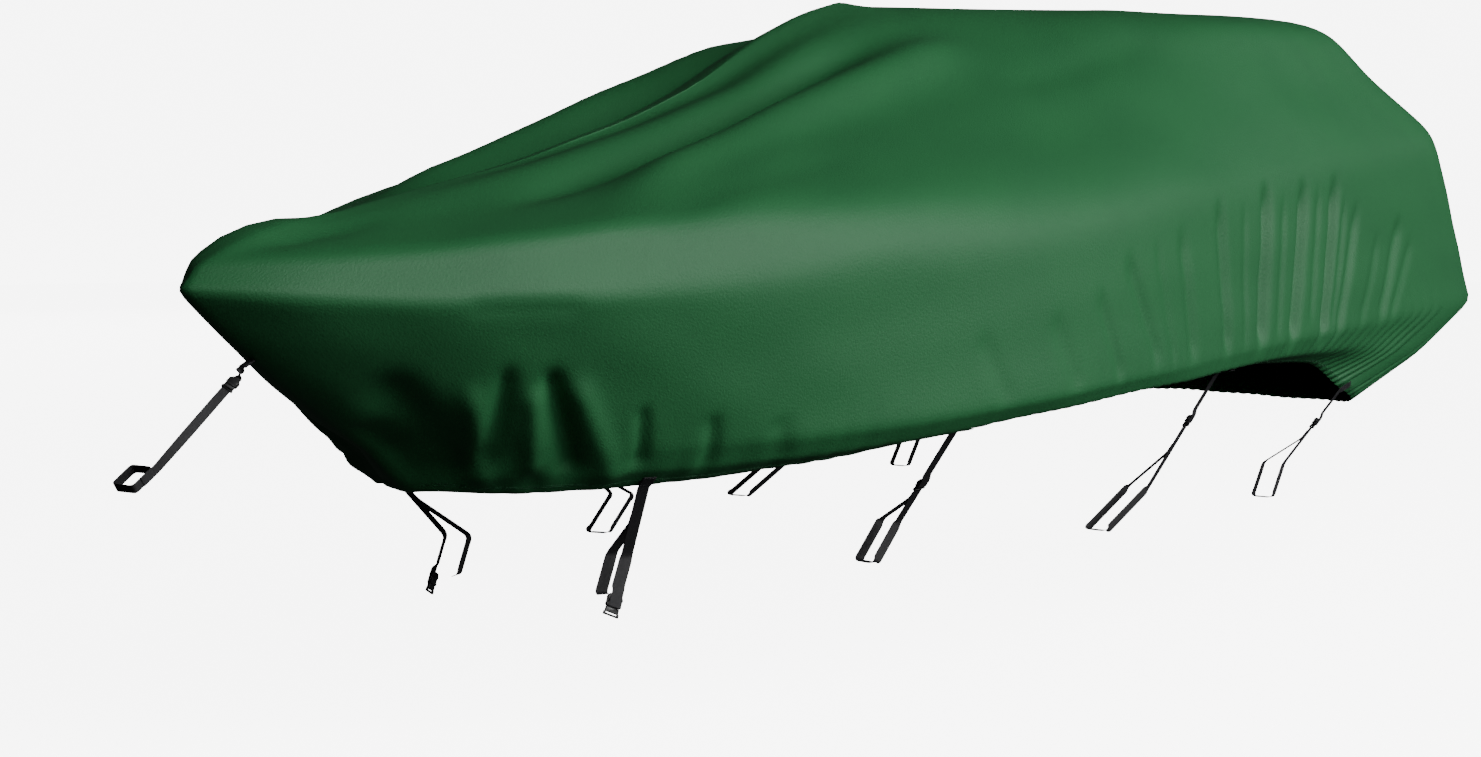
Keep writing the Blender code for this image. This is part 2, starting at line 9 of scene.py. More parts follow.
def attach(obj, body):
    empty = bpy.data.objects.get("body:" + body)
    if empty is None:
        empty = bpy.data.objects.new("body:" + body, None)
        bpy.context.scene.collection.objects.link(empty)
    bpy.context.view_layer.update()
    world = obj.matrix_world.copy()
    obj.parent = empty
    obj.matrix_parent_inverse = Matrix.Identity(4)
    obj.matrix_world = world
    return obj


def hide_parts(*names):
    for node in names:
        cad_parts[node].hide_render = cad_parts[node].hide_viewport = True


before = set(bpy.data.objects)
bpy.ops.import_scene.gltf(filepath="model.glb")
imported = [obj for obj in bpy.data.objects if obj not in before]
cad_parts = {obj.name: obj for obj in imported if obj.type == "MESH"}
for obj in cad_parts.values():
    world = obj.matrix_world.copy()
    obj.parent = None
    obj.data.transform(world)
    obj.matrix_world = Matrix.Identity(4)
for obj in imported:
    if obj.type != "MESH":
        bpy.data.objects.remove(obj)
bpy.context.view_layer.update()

# ======== camera, floor and light
# The camera stands off the port bow at the height of the deck. Most of the light comes from the
# port side and from ahead, well above the floor, so that the turned-under band lies in shade.


def new_object(name, data):
    """An object in the scene that holds a mesh, a lamp or a camera."""
    thing = bpy.data.objects.new(name, data)
    bpy.context.scene.collection.objects.link(thing)
    return thing


def new_mesh(name, points, faces, edges=()):
    """A mesh from its points and faces, or edges."""
    mesh = bpy.data.meshes.new(name)
    mesh.from_pydata(points, edges, faces)
    mesh.shade_smooth()
    return mesh


camera = new_object("camera", bpy.data.cameras.new("camera"))
bpy.context.scene.camera = camera
camera.location = (-8.4070, -5.4854, -0.3305)
camera.rotation_euler = (math.radians(90 - 5.114), 0, math.radians(-53))
camera.data.sensor_width = 36
camera.data.lens = 72.92
camera.data.clip_end = 200


def linear(colour):
    """sRGB hex colour to the linear values that shader sockets take."""
    parts = [int(colour[k:k + 2], 16) / 255 for k in (1, 3, 5)]
    return (*(c / 12.92 if c <= 0.04045 else ((c + 0.055) / 1.055) ** 2.4 for c in parts), 1)


def new_material(name, colour, roughness):
    """A Principled material, its node tree and its shader."""
    material = bpy.data.materials.new(name)
    material.use_nodes = True
    shader = material.node_tree.nodes["Principled BSDF"]
    shader.inputs["Base Color"].default_value = linear(colour)
    shader.inputs["Roughness"].default_value = roughness
    return material, material.node_tree, shader


# The floor is a wide sheet of pale paper that sweeps up all round, well behind every view.
FLOOR_Z = -2.10
FLOOR_GLOW = 7.0          # strength of the glow that keeps it white
SWEEP = [(0, 0), (22, 0), (26, 0.6), (30, 2.4), (33, 5.4), (35, 10), (36, 18)]   # radius, height
SWEEP_SIDES = 72
n = SWEEP_SIDES
turns = [2 * math.pi * k / n for k in range(n)]
floor = new_object("floor", new_mesh(
    "floor",
    [(r * math.cos(a), r * math.sin(a), FLOOR_Z + h) for r, h in SWEEP[1:] for a in turns]
    + [(0, 0, FLOOR_Z)],
    [(k * n + i, k * n + (i + 1) % n, (k + 1) * n + (i + 1) % n, (k + 1) * n + i)
     for k in range(len(SWEEP) - 2) for i in range(n)]
    + [(i, (i + 1) % n, (len(SWEEP) - 1) * n) for i in range(n)]))
paper, tree, shader = new_material("floor_paper", "#f4f4f2", 0.9)
shader.inputs["Specular IOR Level"].default_value = 0.1
shader.inputs["Emission Color"].default_value = linear("#ffffff")
shader.inputs["Emission Strength"].default_value = FLOOR_GLOW
floor.data.materials.append(paper)
floor.visible_diffuse = False
floor.visible_glossy = False

# The light is that of a bright overcast sky on the port side: two wide soft lamps, a low one off
# the bow, and a weaker one on the far side. Almost nothing comes from below.
world = bpy.data.worlds.new("studio")
bpy.context.scene.world = world
world.use_nodes = True
world.node_tree.nodes["Background"].inputs["Color"].default_value = linear("#f7f9fb")
world.node_tree.nodes["Background"].inputs["Strength"].default_value = 0.03

# Each lamp: its name, azimuth and height in degrees, distance, the width and height of its face,
# its power, and whether the cloth's sheen shows it.
LAMPS = (
    ("side", -74, 15, 18.0, 10.0, 6.0, 2300, True),
    ("bow", -108, 34, 18.0, 12.0, 7.0, 3000, True),
    ("low", -114, 2, 18.0, 9.0, 2.4, 330, True),
    ("far", 52, 8, 18.0, 12.0, 6.0, 500, False),
)
LAMP_AIM = Vector((0.0, 0.0, -0.8))
for name, azimuth, height, distance, wide, tall, power, gloss in LAMPS:
    lamp = bpy.data.lights.new(name, "AREA")
    lamp.shape = "RECTANGLE"
    lamp.size, lamp.size_y = wide, tall
    lamp.energy = power
    light = new_object(name, lamp)
    light.visible_glossy = gloss
    around, up = math.radians(azimuth), math.radians(height)
    way = Vector((math.cos(up) * math.cos(around), math.cos(up) * math.sin(around), math.sin(up)))
    light.location = LAMP_AIM + way * distance
    light.rotation_euler = way.to_track_quat("Z", "Y").to_euler()

# ======== the cover's shape
# One sewn cover of coated polyester, pulled tight over what it covers, with a raised middle, and
# drawn in under it by the elastic in its hem. The lines are those of the part, read along the
# cover: x aft of the bow point, y to starboard, z above a base line, metres.
ORIGIN = np.array([3.40, 0, 2.1055])
TOP_Z = 2.108
STATION_COLUMNS = ("x", "rub", "shoulder", "knuckle", "hem")
STATIONS = (
    (0.00, 1.336, 1.405, 0.885, 0.785),
    (0.45, 1.300, 1.435, 0.885, 0.775),
    (0.90, 1.303, 1.485, 0.880, 0.758),
    (1.30, 1.335, 1.530, 0.890, 0.783),
    (1.75, 1.408, 1.540, 0.912, 0.826),
    (2.40, 1.445, 1.555, 0.955, 0.895),
    (3.05, 1.515, 1.600, 0.995, 0.930),
    (3.70, 1.562, 1.645, 1.030, 0.953),
    (4.12, 1.585, 1.668, 1.047, 0.930),
    (4.45, 1.603, 1.683, 1.058, 0.810),
    (4.65, 1.615, 1.692, 1.066, 0.755),
    (5.05, 1.638, 1.715, 1.080, 0.755),
    (5.42, 1.645, 1.715, 1.094, 0.755),
)

# Plans of those lines. bow: where the line starts; stern: its aft end; beam: greatest half
# breadth; entry: length of the curved bow part; full: lower is blunter at the bow;
# transom: half breadth at the stern; corner: radius of the stern quarter. In this order.
PLANS = {
    "hem": (0.800, 4.66, 1.010, 2.60, 0.62, 0.960, 0.20),
    "knuckle": (0.655, 5.42, 1.095, 2.35, 0.70, 1.080, 0.26),
    "rub": (0.000, 5.07, 1.100, 3.00, 0.85, 1.085, 0.22),
    "shoulder": (0.060, 5.06, 1.050, 2.95, 0.88, 1.060, 0.22),
}
ENTRY_POWER = 2.2         # curvature of the bow entry

# The edge of the raised top, which is flat, starts at a point and widens aft. Each row is one
# place on it: the station on the shoulder line from which the cloth runs up to it, and its x,
# half breadth and z.
TOP_STATIONS = (
    (0.00, 2.74, 0.000, 2.088),
    (1.00, 2.80, 0.060, 2.089),
    (2.00, 3.00, 0.200, 2.091),
    (2.60, 3.25, 0.380, 2.094),
    (3.20, 3.58, 0.620, 2.100),
    (3.85, 3.97, 0.790, 2.106),
    (4.84, 4.40, 0.830, 2.103),
)
TOP_CORNER = 0.20         # radius of its aft corners
TOP_RIDGE = (2.80, 4.35)  # fore and aft ends of its centre line
TOP_ARCH = 0.006          # rise of the row halfway between its edge and its centre line

STEM_ROUND = 0.030        # how far the stem seam bows forward of a straight line
STEM_REACH = 0.35         # the distance aft over which that dies out
UNDER_ROUND = 0.020       # fullness of the band between the knuckle and the hem
BOW_HOLLOW = 0.030        # how far the deck sags between the bow and the raised top
BOW_SAG = (0.5, 0.9)      # the station where it sags most, and its reach
QUARTER_HOLLOW = 0.030    # sag of the cloth from the raised top down to the stern
QUARTER_SAG = (3.9, 1.0)  # the station where that starts, and the length over which it grows
STARBOARD_DROP = 0.040    # the starboard shoulder lies lower near the bow
DROP_STATION = 0.80       # where that is greatest
DROP_REACH = 0.55

# Rows of points between those lines, as fractions of the way up.
UNDER_ROWS = (0.50,)
SIDE_ROWS = (0.20, 0.45, 0.72)
DECK_ROWS = (0.07, 0.18, 0.33, 0.52, 0.72, 0.88)
# Columns of points: the share of the side reached, and how many columns lead up to it.
SIDE_COLUMNS = ((0.10, 36), (0.24, 40), (0.53, 66), (0.98, 232))
BOW_SHARE = 0.50          # the shares of the side over which the columns of a shorter line
STERN_SHARE = 0.30        # close up at the bow and at the stern
CORNER_COLUMNS = 66
STERN_COLUMNS = 125
# Fine rows between each pair of the part's rows, hem to ridge.
FINE_ROWS = (7, 7, 5, 6, 6, 6, 7, 2, 3, 4, 6, 6, 5, 4, 4, 4)
CREASE_SOFT = (1, 22)     # passes that round the creases, at the bow and aft
CREASE_REACH = (0.9, 3.2) # stations between which the creases grow softer
CREASE_ROW = 3.6          # the row of the part above which they do; the knuckle stays crisp
HEM_TURN = 0.035          # width of the hem that is turned up inside
HEM_THICK = 0.003
HEM_ROLL = (0.002, 0.001) # how far above and below the hem line the cloth turns

# Folds, each from u0, v0 to u1, v1, with its width and its depth in millimetres. A valley has a
# negative depth and a ridge a positive one. u is x, and v is z on the sides, y on the deck; on
# the stern u is y and v is z.
SIDE_FOLDS = (
    (2.70, 1.36, 2.93, 0.99, 26, -12),
    (2.86, 1.40, 3.02, 0.98, 18, -6),
    (3.02, 1.43, 3.14, 0.98, 26, -13),
    (3.27, 1.52, 3.36, 0.98, 26, -18),
    (3.44, 1.50, 3.47, 0.98, 18, -7),
    (3.61, 1.57, 3.58, 0.98, 30, -28),
    (3.72, 1.52, 3.69, 1.00, 17, -8),
    (3.87, 1.57, 3.80, 0.98, 28, -28),
    (3.97, 1.54, 3.92, 1.06, 17, -9),
    (4.10, 1.58, 4.02, 0.97, 28, -30),
    (4.17, 1.50, 4.08, 1.02, 15, -10),
    (4.27, 1.48, 4.12, 0.99, 24, -16),
    (4.44, 1.36, 4.30, 1.04, 20, -8),
    (4.62, 1.42, 4.45, 1.03, 26, -16),
    (4.72, 1.34, 4.53, 1.04, 18, -10),
    (2.05, 1.16, 2.20, 0.93, 24, -6),
    (2.35, 1.20, 2.50, 0.95, 24, -8),
    (2.56, 1.26, 2.72, 0.96, 22, -9),
    # the forefoot, where the cloth is drawn in under the bow
    (0.44, 1.12, 0.86, 0.76, 36, -26),
    (0.53, 0.98, 0.80, 0.78, 20, -15),
    (0.64, 1.09, 0.88, 0.76, 22, 20),
    (0.70, 1.14, 0.84, 0.80, 18, -22),
    (0.78, 1.08, 0.93, 0.80, 20, 18),
    (0.79, 1.13, 1.02, 0.78, 22, -32),
    (0.86, 1.10, 1.12, 0.76, 26, 18),
    (1.06, 1.01, 1.13, 0.82, 15, -15),
    (1.24, 0.98, 1.30, 0.80, 18, -13),
    (1.42, 0.96, 1.48, 0.82, 26, -8),
    (0.52, 1.285, 0.84, 1.275, 18, -7),
)
STERN_FOLDS = (
    (-0.78, 1.50, -0.66, 0.99, 30, -16),
    (-0.58, 1.36, -0.52, 0.99, 22, -9),
    (-0.42, 1.55, -0.36, 0.99, 32, -20),
    (-0.22, 1.40, -0.20, 0.99, 24, -10),
    (-0.05, 1.45, 0.02, 0.99, 30, -15),
    (0.19, 1.35, 0.17, 0.99, 24, -10),
    (0.36, 1.55, 0.30, 0.99, 32, -20),
    (0.56, 1.38, 0.50, 0.99, 22, -9),
    (0.74, 1.50, 0.66, 0.99, 30, -16),
)
# On the deck the cloth is stretched from the bow to the front of the raised top. The first folds
# are on both sides of the centre line, y as on the port side; the others once, y as it is.
DECK_FOLDS = (
    (0.80, -0.28, 2.66, -0.27, 65, -34),
    (1.00, -0.47, 2.98, -0.39, 85, 50),
    (1.00, -0.64, 1.90, -0.70, 60, -8),
    (2.72, -0.62, 3.62, -0.72, 60, -8),
)
CENTRE_FOLDS = (
    (0.10, -0.08, 3.10, -0.20, 80, 18),
    (0.60, -0.02, 2.90, -0.09, 60, -24),
    (0.16, -0.02, 0.60, -0.17, 30, -14),
    (2.00, -0.04, 2.98, -0.04, 220, 32),
    (0.02, 0.05, 0.56, 0.06, 80, 44),
    (0.30, 0.16, 2.85, 0.14, 500, -48),
)
# The elastic gathers the turned-under band. Each row is a station, the distance from one gather
# to the next there and their depth at the hem. They die out at this row of the part.
GATHERS = (
    (0.80, 0.110, 0.006),
    (1.50, 0.095, 0.006),
    (2.60, 0.065, 0.005),
    (3.60, 0.050, 0.006),
    (4.20, 0.042, 0.008),
    (4.66, 0.038, 0.009),
)
GATHER_ROWS = 3.2
GATHER_FADE = 1.3         # how quickly they die out above the hem
GATHER_SHARP = 1.4        # above 1 their valleys are narrower than their ridges
GATHER_END = 0.10         # they start this far from the stem and from the stern's middle
GATHER_WANDER = (2.4, 0.21)             # how far they stray, radians, and over what length
GATHER_STRENGTH = (0.62, 0.38, 0.17)    # its mean, its variation, and over what length
SCALLOP = 0.006           # how much the hem rises and falls
SCALLOP_ROWS = 1.2        # the rows of the part over which that dies out
SCALLOP_LENGTH = 0.23     # over what length it changes
UNEVEN = 0.0016           # how much the whole cloth undulates, and over what lengths
UNEVEN_LENGTHS = (0.62, 0.38, 0.27, 0.19)
UNEVEN_WAVES = 2          # waves of each length
SPACING_SEED, STRENGTH_SEED, SCALLOP_SEED, UNEVEN_SEED = 5, 11, 23, 3
FOLD_FADE = 0.20          # a fold fades out over this share of its length at each end
CENTRE_FADE = 0.45        # and a fold on the centre line over this one
DECK_BLEND = 0.5          # rows above the rub line over which the folds of the deck come in
CENTRE_CLEAR = 0.05       # folds that are on both sides fade out this near to the centre line
STARBOARD_SHIFT = 0.045   # how much farther aft the folds of the starboard side are


def smooth_line(at, xs, ys):
    """Smooth curve through the points xs, ys, with no overshoot, read at the places in at."""
    slopes = np.diff(ys) / np.diff(xs)
    tangents = np.zeros(len(xs))
    rising = slopes[1:] * slopes[:-1] > 0
    tangents[1:-1][rising] = 2 / (1 / slopes[1:][rising] + 1 / slopes[:-1][rising])
    tangents[0], tangents[-1] = slopes[0], slopes[-1]
    at = np.clip(at, xs[0], xs[-1])
    k = np.clip(np.searchsorted(xs, at, side="right") - 1, 0, len(xs) - 2)
    step = xs[k + 1] - xs[k]
    t = (at - xs[k]) / step
    return ((1 + 2 * t) * (1 - t) ** 2 * ys[k] + t * (1 - t) ** 2 * step * tangents[k]
            + t * t * (3 - 2 * t) * ys[k + 1] + t * t * (t - 1) * step * tangents[k + 1])


def bump(d):
    """A round bump, 1 at d = 0."""
    return np.exp(-d * d)


def columns():
    """Zone (0 side, 1 corner, 2 stern) and fraction of each column of one half."""
    side = [0.0]
    for share, count in SIDE_COLUMNS:
        side.extend(np.linspace(side[-1], share, count + 1)[1:])
    corner = np.linspace(0, 1, CORNER_COLUMNS + 2)[1:-1]
    stern = np.linspace(0, 1, STERN_COLUMNS + 1)
    zone = np.repeat((0, 1, 2), (len(side), len(corner), len(stern)))
    return zone, np.concatenate([side, corner, stern])


def plan_line(name):
    """One half of a fore-and-aft line, as an (n, 3) array from the stem to the stern's middle."""
    bow, stern, beam, entry, full, transom, corner = PLANS[name]
    zone, f = columns()
    heel = stern - corner
    reach = PLANS["rub"][1] - PLANS["rub"][-1]    # the heel of the rub line
    x = (reach * f + bow * np.clip(1 - f / BOW_SHARE, 0, 1) ** 2
         + (heel - reach) * np.clip(1 - (1 - f) / STERN_SHARE, 0, 1) ** 2)
    ahead = np.clip(1 - (x - bow) / entry, 0, 1)
    aft = np.clip((x - bow - entry) / (heel - bow - entry), 0, 1)
    y = beam * (1 - ahead ** ENTRY_POWER) ** full - (beam - transom) * aft
    turn = f * math.pi / 2
    inner = transom - corner
    x = np.choose(zone, [x, heel + corner * np.sin(turn), stern])
    y = np.choose(zone, [y, inner + corner * np.cos(turn), inner * (1 - f)])
    table = np.array(STATIONS)
    z = smooth_line(x, table[:, 0], table[:, STATION_COLUMNS.index(name)])
    return np.column_stack([x, y, z])


def top_edge(shoulder):
    """One half of the raised top's edge, a point for each column."""
    zone, f = columns()
    table = np.array(TOP_STATIONS)
    x, y, z = (smooth_line(shoulder[:, 0], table[:, 0], table[:, k]) for k in (1, 2, 3))
    heel, beam = table[-1, 1], table[-1, 2]
    inner = beam - TOP_CORNER
    turn = f * math.pi / 2
    x = np.choose(zone, [x, heel + TOP_CORNER * np.sin(turn), heel + TOP_CORNER])
    y = np.choose(zone, [y, inner + TOP_CORNER * np.cos(turn), inner * (1 - f)])
    return np.column_stack([x, y, z])


def run_along(line):
    """Distance along a line of points, at each of them."""
    return np.concatenate([[0], np.cumsum(np.linalg.norm(np.diff(line, axis=0), axis=1))])


def run_up(grid):
    """Distance up each column of a grid of points, at each of them."""
    return np.cumsum(np.linalg.norm(np.diff(grid, axis=0, prepend=grid[:1]), axis=2), axis=0)


def top_ridge(edge):
    """The top's centre line, with its points spread as the edge's points are."""
    run = run_along(edge)
    x = TOP_RIDGE[0] + (TOP_RIDGE[1] - TOP_RIDGE[0]) * run / run[-1]
    return np.column_stack([x, np.zeros(len(x)), np.full(len(x), TOP_Z)])


def half_rows(side):
    """Rows of points of one half, hem to ridge, before its folds. side is -1 port, 1 starboard."""
    hem, knuckle, rub, shoulder = map(plan_line, ("hem", "knuckle", "rub", "shoulder"))
    if side > 0:
        shoulder[:, 2] -= STARBOARD_DROP * bump((shoulder[:, 0] - DROP_STATION) / DROP_REACH)
    edge = top_edge(shoulder)
    ridge = top_ridge(edge)
    at_stem = bump(rub[:, 0] / STEM_REACH)[:, None]
    at_stern = np.clip((rub[:, 0] - QUARTER_SAG[0]) / QUARTER_SAG[1], 0, 1)[:, None]
    ahead = bump((shoulder[:, 0] - BOW_SAG[0]) / BOW_SAG[1])[:, None]
    rows = [hem]
    for t in UNDER_ROWS:
        full = np.array([0, UNDER_ROUND, -UNDER_ROUND]) * 4 * t * (1 - t)
        rows.append(hem + (knuckle - hem) * t + full * (knuckle[:, 1:2] / PLANS["knuckle"][2]))
    rows.append(knuckle)
    for t in SIDE_ROWS:
        rows.append(knuckle + (rub - knuckle) * t
                    + np.array([-STEM_ROUND, 0, 0]) * 4 * t * (1 - t) * at_stem)
    rows += [rub, shoulder]
    for t in DECK_ROWS:
        sag = BOW_HOLLOW * ahead + QUARTER_HOLLOW * at_stern
        rows.append(shoulder + (edge - shoulder) * t - np.array([0, 0, 1]) * sag * 4 * t * (1 - t))
    rows += [edge, (edge + ridge) / 2 + np.array([0, 0, TOP_ARCH]), ridge]
    grid = np.array(rows)
    grid[:, 0, 1] = 0
    grid[..., 1] *= side
    return grid


def row_normals(grid, side):
    """Outward normals of a half's grid, one for each point."""
    up = np.gradient(grid, axis=0)
    aft = np.gradient(grid, axis=1)
    normal = np.cross(up, aft) * side
    return normal / np.maximum(np.linalg.norm(normal, axis=2, keepdims=True), 1e-9)


def fold_depth(u, v, folds, fade_share=FOLD_FADE):
    """Sum of the folds of a table at the places u, v; each fades out over a share of its length."""
    depth = np.zeros_like(u)
    for u0, v0, u1, v1, width, deep in folds:
        du, dv = u1 - u0, v1 - v0
        length = math.hypot(du, dv)
        along = ((u - u0) * du + (v - v0) * dv) / length ** 2
        across = ((u - u0) * dv - (v - v0) * du) / length
        fade = np.clip(along / fade_share, 0, 1) * np.clip((1 - along) / fade_share, 0, 1)
        depth += deep / 1000 * bump(across / (width / 1000)) * fade ** 2 * (3 - 2 * fade)
    return depth


def fine_rows(grid):
    """The part's rows with finer rows between them and their creases a little rounded."""
    at = np.concatenate([np.arange(n) / n + k for k, n in enumerate(FINE_ROWS)]
                        + [[len(FINE_ROWS)]])
    low = np.minimum(at.astype(int), len(FINE_ROWS) - 1)
    t = (at - low)[:, None, None]
    fine = grid[low] * (1 - t) + grid[low + 1] * t
    aft = np.clip((fine[..., 0:1] - CREASE_REACH[0]) / (CREASE_REACH[1] - CREASE_REACH[0]), 0, 1)
    aft = aft * np.clip(at - CREASE_ROW, 0, 1)[:, None, None]
    for k in range(CREASE_SOFT[1]):
        share = 1.0 if k < CREASE_SOFT[0] else aft[1:-1]
        softer = (fine[:-2] + 2 * fine[1:-1] + fine[2:]) / 4
        fine[1:-1] += (softer - fine[1:-1]) * share
    return fine, at


def wander(at, length, seed):
    """A smooth random line between -1 and 1 along at, that changes over about length."""
    values = np.random.default_rng(seed).uniform(-1, 1, int(np.ptp(at) / length) + 4)
    place = (at - np.min(at)) / length
    k = place.astype(int)
    t = place - k
    t = t * t * (3 - 2 * t)
    return values[k] * (1 - t) + values[k + 1] * t


def gathered(grid, row, side):
    """How far the gathers move each point out, and how far the hem's rise and fall moves it."""
    hem = grid[0]
    table = np.array(GATHERS)
    run = run_along(hem)
    pitch, deep = (np.interp(hem[:, 0], table[:, 0], table[:, k]) for k in (1, 2))
    phase = 2 * math.pi * np.concatenate([[0], np.cumsum(np.diff(run) / pitch[1:])])
    phase += GATHER_WANDER[0] * wander(run, GATHER_WANDER[1], SPACING_SEED + side)
    wave = 0.5 - 0.5 * np.cos(phase)
    mean, varied, length = GATHER_STRENGTH
    strength = mean + varied * wander(run, length, STRENGTH_SEED + side)
    end = np.clip(np.minimum(run, run[-1] - run) / GATHER_END, 0, 1)
    above = np.clip(1 - row / GATHER_ROWS, 0, 1) ** GATHER_FADE
    out = -(deep * strength * wave ** GATHER_SHARP * end)[None, :] * above
    low = np.clip(1 - row / SCALLOP_ROWS, 0, 1)
    drop = (wave - 0.5) * strength * 0.5 + 0.5 * wander(run, SCALLOP_LENGTH, SCALLOP_SEED + side)
    return out, (SCALLOP * drop * end)[None, :] * low


def uneven(grid):
    """The undulation of the whole cloth, from waves that cross each other at odd angles."""
    depth = np.zeros(grid.shape[:2])
    rng = np.random.default_rng(UNEVEN_SEED)
    for length in UNEVEN_LENGTHS:
        for _ in range(UNEVEN_WAVES):
            way = rng.normal(size=3)
            way *= 2 * math.pi / length / np.linalg.norm(way)
            phase = rng.uniform(0, 6)
            depth += UNEVEN * math.sqrt(length) * np.sin(grid @ way + phase)
    return depth


def folded_half(side):
    """One half's fine grid with its folds."""
    grid, row = fine_rows(half_rows(side))
    normal = row_normals(grid, side)
    x, y, z = grid[..., 0], grid[..., 1], grid[..., 2]
    shift = STARBOARD_SHIFT if side > 0 else 0.0
    knuckle_row = 1 + len(UNDER_ROWS)
    rub_row = knuckle_row + len(SIDE_ROWS) + 1
    zone = columns()[0][None, :]
    row = row[:, None]
    deck = np.clip((row - rub_row) / DECK_BLEND, 0, 1)
    clear = np.clip(np.abs(y) / CENTRE_CLEAR, 0, 1)
    out, drop = gathered(grid, row, side)
    depth = (fold_depth(x - shift, z, SIDE_FOLDS) * (1 - deck) * (zone == 0)
             + fold_depth(y, z, STERN_FOLDS) * (1 - deck) * (zone > 0)
             + fold_depth(x - shift, -np.abs(y), DECK_FOLDS) * deck) * clear
    depth += fold_depth(x, y, CENTRE_FOLDS, CENTRE_FADE) * deck + out + uneven(grid)
    return grid + normal * depth[..., None] - np.array([0, 0, 1]) * drop[..., None]


def with_hem(grid, side):
    """The grid with its hem turned up inside, as further rows before the first."""
    inward = -row_normals(grid, side)[0]
    up = grid[1] - grid[0]
    up /= np.maximum(np.linalg.norm(up, axis=1, keepdims=True), 1e-9)
    inside = grid[0] + inward * HEM_THICK
    turned = np.array([inside + up * HEM_TURN, inside + up * HEM_TURN / 2,
                       inside + up * HEM_ROLL[0],
                       grid[0] + inward * HEM_THICK / 2 - up * HEM_ROLL[1]])
    turned[:, (0, -1), 1] = 0
    return np.concatenate([turned, grid])


def weld_halves(name, halves):
    """Both halves as one mesh, welded along the stem, the centre line and the stern."""
    port, starboard = halves
    seam = (port + starboard) / 2 * np.array([1, 0, 1])
    rows, across, _ = port.shape
    shared = np.zeros((rows, across), bool)
    shared[:, (0, -1)] = True
    shared[-1] = True
    index = np.arange(rows * across).reshape(rows, across)
    other = np.where(shared, index, rows * across + np.cumsum(~shared).reshape(rows, across) - 1)
    points = np.concatenate([np.where(shared[..., None], seam, port).reshape(-1, 3),
                             starboard[~shared]]) - ORIGIN
    belt = port[len(port) // 2]
    up = run_up(port)
    uv = np.stack([np.broadcast_to(run_along(belt), up.shape), up], axis=2)
    faces, spots = [], []
    for half, idx in enumerate((index, other)):
        quad = [idx[:-1, :-1], idx[:-1, 1:], idx[1:, 1:], idx[1:, :-1]]
        spot = [uv[:-1, :-1], uv[:-1, 1:], uv[1:, 1:], uv[1:, :-1]]
        order = (0, 1, 2, 3) if half == 0 else (3, 2, 1, 0)
        faces.append(np.stack([quad[k].ravel() for k in order], axis=1))
        spots.append(np.stack([spot[k].reshape(-1, 2) for k in order], axis=1))
    mesh = new_mesh(name, points.tolist(), np.concatenate(faces).tolist())
    layer = mesh.uv_layers.new(name="cloth_metres")
    layer.data.foreach_set("uv", np.concatenate(spots).reshape(-1).astype(np.float32))
    return new_object(name, mesh)


shells = {side: folded_half(side) for side in (-1, 1)}
cloth = weld_halves("cover_cloth", [with_hem(shells[side], side) for side in (-1, 1)])


def add_node(tree, kind, values=(), links=(), **settings):
    """A node with its settings, its socket values and its links from other nodes' outputs."""
    node = tree.nodes.new(kind)
    for key, value in settings.items():
        setattr(node, key, value)
    for socket, value in values:
        node.inputs[socket].default_value = value
    for socket, source in links:
        tree.links.new(source, node.inputs[socket])
    return node


def mottled(tree, shader, place, scale, detail, dark, light):
    """A base colour that wanders between two tones, in patches of 1 / scale metres."""
    patches = add_node(tree, "ShaderNodeTexNoise", [("Scale", scale), ("Detail", detail)],
                       [("Vector", place)])
    tone = add_node(tree, "ShaderNodeMix", [("A", linear(dark)), ("B", linear(light))],
                    [("Factor", patches.outputs["Fac"])], data_type="RGBA")
    tree.links.new(tone.outputs["Result"], shader.inputs["Base Color"])


# Coated polyester: a deep green twill with a soft grey sheen where the light grazes it. Its lines
# are too fine to show and are drawn 1.7 mm apart; the slubs that catch the light are 8 mm across.
material, tree, shader = new_material("green_coated_polyester", "#1b5931", 0.60)
shader.inputs["Specular IOR Level"].default_value = 0.37
uv = add_node(tree, "ShaderNodeUVMap", uv_map="cloth_metres")
weave = add_node(tree, "ShaderNodeTexWave", [("Scale", 260.0), ("Distortion", 0.6),
                                             ("Detail", 1.0)],
                 [("Vector", uv.outputs["UV"])], wave_type="BANDS", bands_direction="DIAGONAL")
mottled(tree, shader, uv.outputs["UV"], 3.0, 4.0, "#18542f", "#1c5d33")
slub = add_node(tree, "ShaderNodeTexNoise", [("Scale", 130.0), ("Detail", 3.0)],
                [("Vector", uv.outputs["UV"])])
coarse = add_node(tree, "ShaderNodeBump", [("Strength", 0.6), ("Distance", 0.0018)],
                  [("Height", slub.outputs["Fac"])])
relief = add_node(tree, "ShaderNodeBump", [("Strength", 0.15), ("Distance", 0.0005)],
                  [("Height", weave.outputs["Fac"]), ("Normal", coarse.outputs["Normal"])])
tree.links.new(relief.outputs["Normal"], shader.inputs["Normal"])
cloth.data.materials.append(material)
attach(cloth, "root")
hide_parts("cover")

# ======== stitches
# The turned-up hem is held by a twin-needle seam in green thread, and each side tie by a box
# seam in black thread. A stitch is a short length of thread lying on the cloth.
HEM_SEAMS = (0.0245, 0.0310)      # heights of the two rows above the hem's edge
SEAM_START = 2                    # columns left free at the stem and at the stern's middle
STITCH_PITCH = 0.0065
STITCH_LONG = 0.0046
THREAD_THICK = 0.0011             # about three times that of real thread, so that it shows
SEAM_CLEAR = 0.0003               # of the thread's centre line from the cloth


